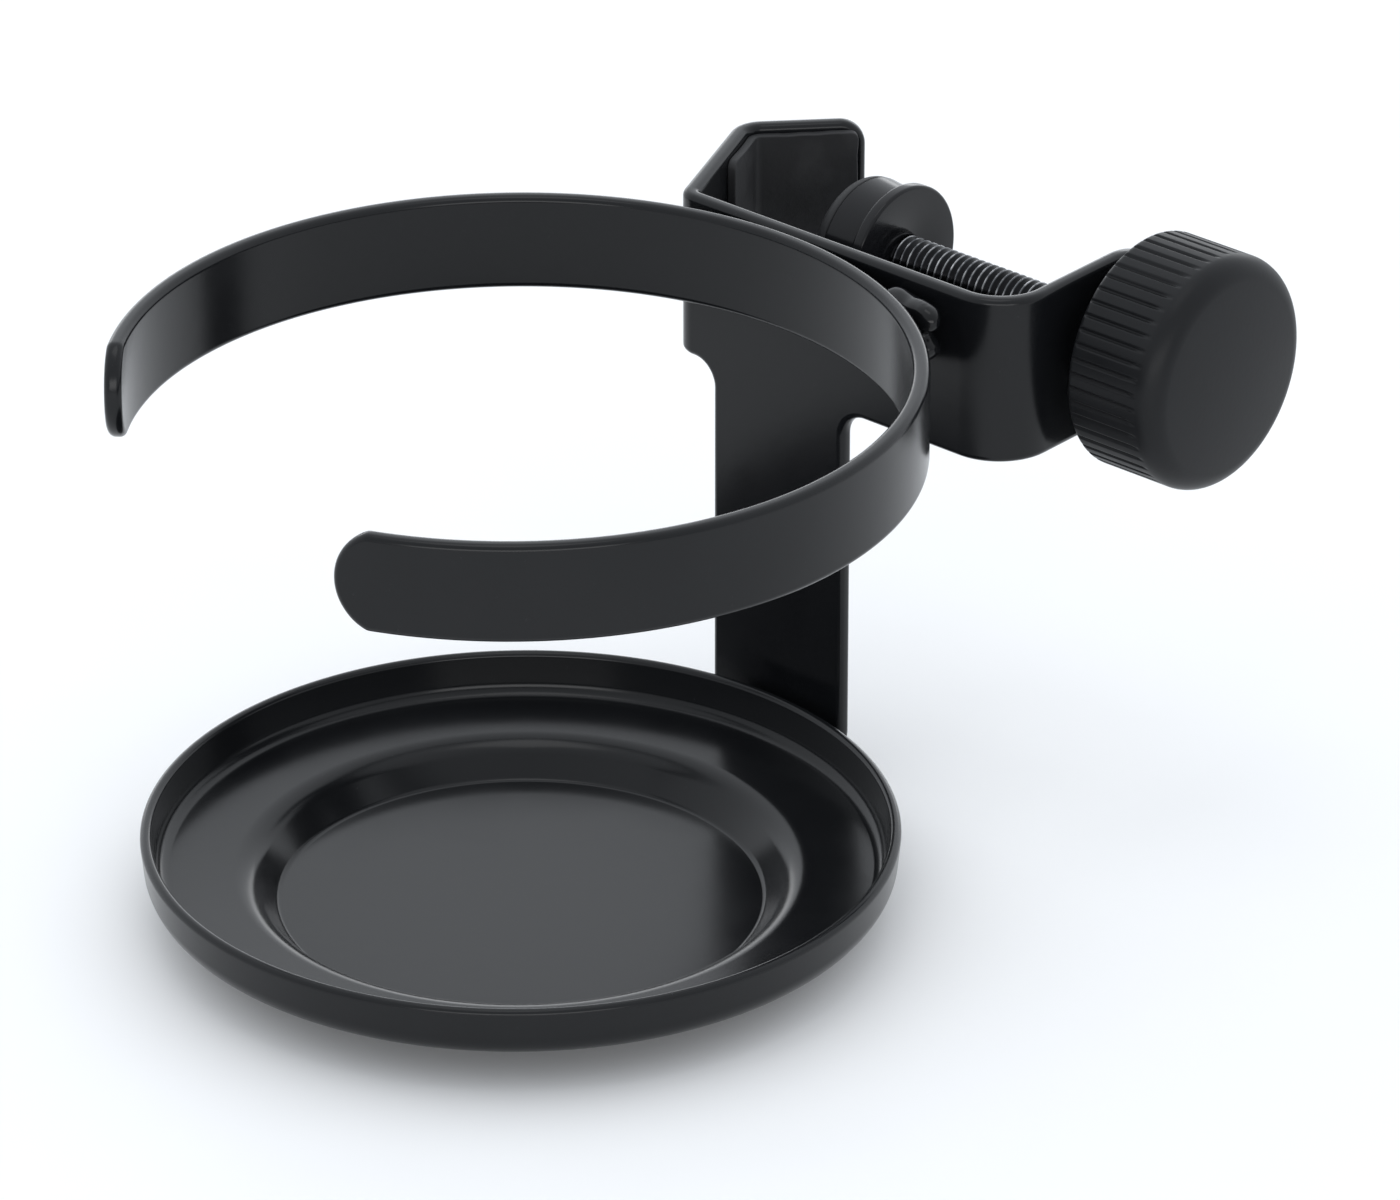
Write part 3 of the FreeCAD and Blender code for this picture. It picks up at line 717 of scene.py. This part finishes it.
def bored(bm, drill):
    """The bmesh with the drill's volume taken out."""
    for shell in (bm, drill):
        bmesh.ops.remove_doubles(shell, verts=shell.verts, dist=MERGE)
        bmesh.ops.recalc_face_normals(shell, faces=shell.faces)
    mesh = bpy.data.meshes.new("drill")
    drill.to_mesh(mesh)
    drill.free()
    tool = bpy.data.objects.new("drill", mesh)
    bpy.context.scene.collection.objects.link(tool)
    result = worked(bm, ("BOOLEAN", {"operation": "DIFFERENCE", "solver": "EXACT", "object": tool}))
    bpy.data.objects.remove(tool)
    bpy.data.meshes.remove(mesh)
    return result


def build_liner():
    """Rubber strip folded round the inside of the V, its edges cut a little unevenly."""
    end, apex, corner = Vector(JAW_END), Vector((JAW_APEX_X, SCREW_Y)), Vector(CORNER)
    to_end, to_corner = (end - apex).normalized(), (corner - apex).normalized()
    inward = (to_end + to_corner).normalized()
    inner_apex = apex + inward * (STRIP / math.sin(to_end.angle(to_corner) / 2))
    start = end - Vector((-to_end.y, to_end.x)) * STRIP - to_end * LINER_MARGIN
    route = bend_route([start, inner_apex, inner_apex + to_corner * LINER_LEAD], [JAW_APEX_BEND])
    length = route[-1][0] + route[-1][1]
    height = BAND_HEIGHT - 2 * LINER_INSET
    blank = rounded([(x, y, LINER_CORNER) for x, y in
                     ((0, 0), (length, 0), (length, height), (0, height))], step=15)
    wave_x, wave_y = (Vector(start) for start in LINER_WAVE_STARTS)
    uneven = []
    for x, y in dense(blank, LINER_EDGE_STEP):
        place = Vector((x, y, 0)) / LINER_WAVE_LENGTH
        uneven.append((x + noise.noise(place + wave_x) * LINER_WAVE,
                       y + noise.noise(place + wave_y) * LINER_WAVE))
    bm = flat_sheet(uneven, LINER_SHEET, LINER_EDGE, [((1, 0, 0), bend_cuts(route, step=6))])
    for vert in bm.verts:
        place, level, depth = vert.co
        point, inner = route_at(route, place)
        point += inner * depth
        vert.co = (point.x, point.y, BAND_BOTTOM + LINER_INSET + level)
    return bm


# ---------------------------------------------------------------- welds

def fused_balls(balls):
    """One lumpy solid skinned over overlapping balls (x, y, z, radius)."""
    bm = bmesh.new()
    for x, y, z, radius in balls:
        made = bmesh.ops.create_icosphere(bm, subdivisions=3, radius=radius)
        for vert in made["verts"]:
            vert.co += Vector((x, y, z))
    return worked(bm, ("REMESH", {"mode": "VOXEL", "voxel_size": BEAD_GRAIN}),
                  ("SMOOTH", {"factor": 0.7, "iterations": 14}))


def build_ring_weld():
    """Lumpy beads in the wedge between the ring and the plate."""
    balls = []
    for start, end in RING_BEADS:
        start, end = Vector(start), Vector(end)
        count = math.ceil((end - start).length / BEAD_STEP)
        for i in range(count + 1):
            across, height, radius = start.lerp(end, i / count)
            depth = (math.sqrt(RING_RADIUS ** 2 - across ** 2) + RING_RADIUS) / 2
            balls.append((across, depth, height, radius))
    bm = fused_balls(balls)
    ripple(bm, BEAD_RIPPLE, BEAD_RIPPLE_LENGTH, BEAD_RIPPLE_START)
    return bm


def quarter_bead(corner, run, out_a, out_b, length, radius):
    """Bead with a quarter-round section along run, filling the corner between two faces.

    It is scalloped along its length and thinner at both ends.
    """
    corner, run, out_a, out_b = Vector(corner), Vector(run), Vector(out_a), Vector(out_b)
    bm = bmesh.new()
    stations, across = 48, 8
    rows = []
    for i in range(stations + 1):
        along = i / stations
        swell = 1 - abs(2 * along - 1) ** 6
        scallop = SCALLOP_BASE + SCALLOP_DEPTH * abs(math.sin(math.pi * length * along / SCALLOP_PITCH))
        size = radius * max(BEAD_END, swell) * scallop
        row = [bm.verts.new(corner + run * (length * along))]
        for j in range(across + 1):
            angle = math.radians(90 * j / across)
            out = out_a * math.cos(angle) + out_b * math.sin(angle)
            row.append(bm.verts.new(row[0].co + out * size))
        rows.append(row)
    for a, b in zip(rows, rows[1:]):
        for i in range(len(a)):
            j = (i + 1) % len(a)
            bm.faces.new((a[i], a[j], b[j], b[i]))
    bm.faces.new(rows[0][::-1])
    bm.faces.new(rows[-1])
    return bm


def build_foot_weld():
    """Beads along both sides of the foot, under the ledge."""
    return joined([
        quarter_bead((x, FOOT_BEAD_START, FOOT_TOP), (0, 1, 0), (side, 0, 0), (0, 0, -1),
                     FOOT_BEAD_LENGTH, FOOT_BEAD)
        for x, side in zip(STEM, (-1, 1))])


def build_nut_weld():
    """Beads where the nut's upper and lower flats meet the wing."""
    start = SCREW_Y - NUT_BEAD_LENGTH / 2
    return joined([
        quarter_bead((WING_OUTER, start, SCREW_Z + side * NUT_FLATS / 2), (0, 1, 0), (1, 0, 0),
                     (0, 0, side), NUT_BEAD_LENGTH, NUT_BEAD)
        for side in (-1, 1)])


# ---------------------------------------------------------------- nut, screw, pad and knob

def hexagon_block(start, height, bore):
    """Hexagon with chamfered corners at its outer end, bored through or solid."""
    half = NUT_FLATS / 2
    past_flats = half + 1
    chamfer = half * CHAMFER_START
    slope = math.tan(math.radians(CHAMFER_ANGLE))

    def flats(angle):
        return half / math.cos((angle + math.pi / 6) % (math.pi / 3) - math.pi / 6)

    def shape(x, radius, angle):
        return flats(angle) if radius == past_flats else radius

    end = start + height
    bm = lathe([(start, bore), (start, past_flats), (end, past_flats), (end, chamfer), (end, bore)],
               NUT_STEPS, (SCREW_Y, SCREW_Z), shape=shape)
    for vert in bm.verts:
        reach = math.hypot(vert.co.y - SCREW_Y, vert.co.z - SCREW_Z)
        if vert.co.x > start + height / 2:
            vert.co.x -= max(0.0, reach - chamfer) * slope
    return bm


def build_thread(start, end):
    """Rolled thread: rows of the profile set along the helix, running out and cut square at its ends."""
    crest, root, middle = PITCH / 16, PITCH / 8, PITCH / 2
    profile = [(-crest, SCREW_RADIUS - CREST_ROUND), (0, SCREW_RADIUS),
               (crest, SCREW_RADIUS - CREST_ROUND), (middle - root, THREAD_ROOT + ROOT_ROUND),
               (middle, THREAD_ROOT), (middle + root, THREAD_ROOT + ROOT_ROUND)]
    turns = math.ceil((end - start) / PITCH) + 3
    bm = bmesh.new()
    rows = []
    for turn in range(turns):
        for shift, radius in profile:
            row = []
            for i in range(SCREW_STEPS + 1):
                angle = 2 * math.pi * i / SCREW_STEPS
                x = start + shift + PITCH * (turn + i / SCREW_STEPS - 1.5)
                x = min(max(x, start), end)
                r = min(radius, THREAD_ROOT + min(x - start, end - x) * RUN_OUT_SLOPE)
                y, z = SCREW_Y + r * math.cos(angle), SCREW_Z + r * math.sin(angle)
                row.append(bm.verts.new((x, y, z)))
            rows.append(row)
    for a, b in zip(rows, rows[1:]):
        for i in range(SCREW_STEPS):
            bm.faces.new((a[i], a[i + 1], b[i + 1], b[i]))
    bmesh.ops.remove_doubles(bm, verts=bm.verts, dist=10 * MERGE)
    bmesh.ops.holes_fill(bm, edges=[edge for edge in bm.edges if edge.is_boundary], sides=0)
    return bm


def build_screw():
    """Thread with a neck and collar at the tip and a hexagon head inside the knob."""
    neck_start = TIP + COLLAR
    neck_end = neck_start + CLIP_SHEET
    tip = lathe([(TIP, SCREW_RADIUS - TIP_ROUND), (TIP + TIP_ROUND, SCREW_RADIUS),
                 (neck_start, SCREW_RADIUS), (neck_start, NECK), (neck_end + NECK_LAP, NECK)],
                SCREW_STEPS, (SCREW_Y, SCREW_Z), closed=False)
    head = hexagon_block(HEAD_START, HEAD_HEIGHT, CAP_RADIUS)
    return joined([tip, build_thread(neck_end, HEAD_START + HEAD_LAP), head])


def build_pad_disc():
    """Flanged disc with the screw's socket and the clip's groove in its back."""
    flange = PAD_BACK - PAD_FLANGE
    groove_start = TIP + COLLAR - PART_GAP
    groove_end = groove_start + CLIP_SHEET + 2 * PART_GAP
    bottom = TIP - PART_GAP
    section = rounded([
        (PAD_FRONT, 0, 0), (PAD_FRONT, PAD_FRONT_RADIUS, PAD_SEAM_ROUND),
        (flange, PAD_BODY_RADIUS, PAD_ROUND), (flange, PAD_RADIUS, PAD_ROUND),
        (PAD_BACK, PAD_RADIUS, PAD_ROUND), (PAD_BACK, BORE_RADIUS, 0),
        (groove_end, BORE_RADIUS, 0), (groove_end, GROOVE_RADIUS, 0),
        (groove_start, GROOVE_RADIUS, 0), (groove_start, BORE_RADIUS, 0),
        (bottom, BORE_RADIUS, 0), (bottom, 0, 0),
    ], step=15)
    return lathe(section, PAD_STEPS, (SCREW_Y, SCREW_Z))


def build_pad_face():
    """Soft facing with a well-rounded front edge."""
    section = rounded([(FACE_FRONT, 0, 0), (FACE_FRONT, FACE_RADIUS, FACE_ROUND),
                       (PAD_FRONT, FACE_RADIUS, 0), (PAD_FRONT, 0, 0)], step=9)
    return lathe(section, PAD_STEPS, (SCREW_Y, SCREW_Z))


def groove_depth(x, angle):
    """Depth of the knob's ribbing: narrow grooves that run out before the front rounding."""
    pitch = 2 * math.pi * KNOB_RADIUS / RIB_COUNT
    place = angle / (2 * math.pi) * RIB_COUNT % 1
    off_centre = min(place, 1 - place) * pitch / (RIB_WIDTH / 2)
    run_out = min(1.0, max(0.0, (RIB_END - x) / RIB_RUN_OUT))
    return RIB_DEPTH * max(0.0, 1 - off_centre ** 2) * run_out


def build_knob():
    """Knob with ribs along its side, a generous front rounding and a slightly domed face."""
    dome_centre = KNOB_FRONT - KNOB_DOME
    hub_radius = KNOB_RADIUS - KNOB_ROUND
    hub = dome_centre + math.sqrt((KNOB_DOME - KNOB_ROUND) ** 2 - hub_radius ** 2)
    lean = math.degrees(math.atan2(hub_radius, hub - dome_centre))
    section = [(HEAD_START, CAP_RADIUS), (HEAD_START, SCREW_RADIUS), (KNOB_BACK, SCREW_RADIUS)]
    side = KNOB_BACK + KNOB_BACK_ROUND
    section += arc((side, KNOB_RADIUS - KNOB_BACK_ROUND), KNOB_BACK_ROUND, 180, 90, step=15)
    section += [(side + (hub - side) * i / KNOB_ROWS, KNOB_RADIUS) for i in range(1, KNOB_ROWS)]
    section += arc((hub, hub_radius), KNOB_ROUND, 90, lean, step=5)
    section += arc((dome_centre, 0), KNOB_DOME, lean, KNOB_CAP_ANGLE, step=1)[1:]

    def shape(x, radius, angle):
        return min(radius, KNOB_RADIUS - groove_depth(x, angle))

    return lathe(section, RIB_COUNT * RIB_STEPS, (SCREW_Y, SCREW_Z), closed=False, shape=shape)


# ---------------------------------------------------------------- build

def build_all():
    """Makes every piece, puts it in place of its CAD node and gives it its material."""
    coat, weld, rubber = powder_coat(), weld_coat(), liner_rubber()
    makers = (
        ("bracket", build_bracket, "bracket", "clamp_bracket", "powder_coat", coat),
        ("ring", build_ring, "bracket", "cup_ring", "powder_coat", coat),
        ("ring_beads", build_ring_weld, "bracket", "ring_weld", "powder_coat", weld),
        ("tray", build_tray, "bracket", "cup_tray", "powder_coat", coat),
        ("foot_beads", build_foot_weld, "bracket", "foot_weld", "powder_coat", weld),
        ("liner", build_liner, "bracket", "jaw_liner", "liner_rubber", rubber),
        ("nut", lambda: hexagon_block(WING_OUTER, NUT_HEIGHT, BORE_RADIUS), "bracket", "weld_nut",
         "powder_coat", coat),
        ("nut_beads", build_nut_weld, "bracket", "nut_weld", "powder_coat", weld),
        ("disc", build_pad_disc, "pad", "pad_disc", "pad_plastic", pad_plastic()),
        ("facing", build_pad_face, "pad", "pad_face", "liner_rubber", rubber),
        ("screw", build_screw, "screw", "clamp_screw", "black_oxide", black_oxide()),
        ("knob", build_knob, "screw", "clamp_knob", "knob_plastic", knob_plastic()),
    )
    for name, make, body, node, slot, material in makers:
        piece = new_piece(name, make(), body, node, slot=slot)
        weight_normals(piece)
        dress(piece, material)
    dress(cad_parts["pad_clip"], spring_steel())


# ---------------------------------------------------------------- studio

def make_floor():
    """Plain pale floor, large enough to fill the view."""
    half = 3.0
    mesh = bpy.data.meshes.new("floor")
    mesh.from_pydata([(-half, -half, 0), (half, -half, 0), (half, half, 0), (-half, half, 0)], [],
                     [(0, 1, 2, 3)])
    floor = bpy.data.objects.new("floor", mesh)
    bpy.context.scene.collection.objects.link(floor)
    n = Nodes("floor_paper")
    n.link(n.mix(n.ramp(n.noise(30, 2), 0, 1), (0.93, 0.93, 0.93), (0.94, 0.94, 0.94)),
           n.shader.inputs["Base Color"])
    n.shader.inputs["Roughness"].default_value = 0.6
    n.shader.inputs["Specular IOR Level"].default_value = 0.2
    floor.data.materials.append(n.material)


def aim(thing, target):
    """Turns a lamp or camera towards target."""
    thing.rotation_mode = "QUATERNION"
    thing.rotation_quaternion = (Vector(target) - thing.location).to_track_quat("-Z", "Y")


def soft_box(name, place, target, size, watts):
    """Rectangular lamp, size (width, height), aimed at target."""
    light = bpy.data.lights.new(name, "AREA")
    light.shape = "RECTANGLE"
    light.size, light.size_y = size
    light.energy = watts
    lamp = bpy.data.objects.new(name, light)
    lamp.location = place
    bpy.context.scene.collection.objects.link(lamp)
    aim(lamp, target)


def make_light():
    """White surroundings, brighter behind the object, and soft boxes overhead, in front and behind."""
    away_from_camera, strengths = (-0.66, 0.75, 0), (0.67, 1.39)
    world = bpy.data.worlds.new("studio")
    world.use_nodes = True
    tree = world.node_tree
    background = tree.nodes["Background"]
    background.inputs["Color"].default_value = (0.95, 0.99, 1.04, 1)
    direction = tree.nodes.new("ShaderNodeTexCoord").outputs["Generated"]
    backward = tree.nodes.new("ShaderNodeVectorMath")
    backward.operation = "DOT_PRODUCT"
    backward.inputs[1].default_value = away_from_camera
    tree.links.new(direction, backward.inputs[0])
    fade = tree.nodes.new("ShaderNodeMapRange")
    fade.inputs["From Min"].default_value = -1
    fade.inputs["To Min"].default_value, fade.inputs["To Max"].default_value = strengths
    tree.links.new(backward.outputs["Value"], fade.inputs["Value"])
    tree.links.new(fade.outputs["Result"], background.inputs["Strength"])
    bpy.context.scene.world = world
    soft_box("top_box", (0.0, -0.05, 1.1), (0, 0.02, 0), (0.45, 0.45), 0.7)
    soft_box("front_box", (1.0, -1.13, 0.5), (0, 0.02, 0.02), (1.6, 0.5), 6.0)
    soft_box("back_box", (-1.0, 1.13, 0.25), (0, 0.02, 0.05), (1.5, 0.3), 1.8)


def make_camera():
    """Long lens from the front right, a little above."""
    azimuth, elevation, distance = math.radians(41.49), math.radians(27.03), 0.9463
    target = Vector((0.01496, 0.01323, 0.03847))
    back = Vector((math.sin(azimuth) * math.cos(elevation), -math.cos(azimuth) * math.cos(elevation),
                   math.sin(elevation)))
    camera = bpy.data.objects.new("camera", bpy.data.cameras.new("camera"))
    camera.data.sensor_width = 36
    camera.data.lens = 221.15
    camera.data.clip_start = 0.05
    camera.location = target + back * distance
    aim(camera, target)
    bpy.context.scene.collection.objects.link(camera)
    bpy.context.scene.camera = camera


build_all()
make_floor()
make_light()
make_camera()
bpy.context.scene.view_settings.view_transform = "Standard"
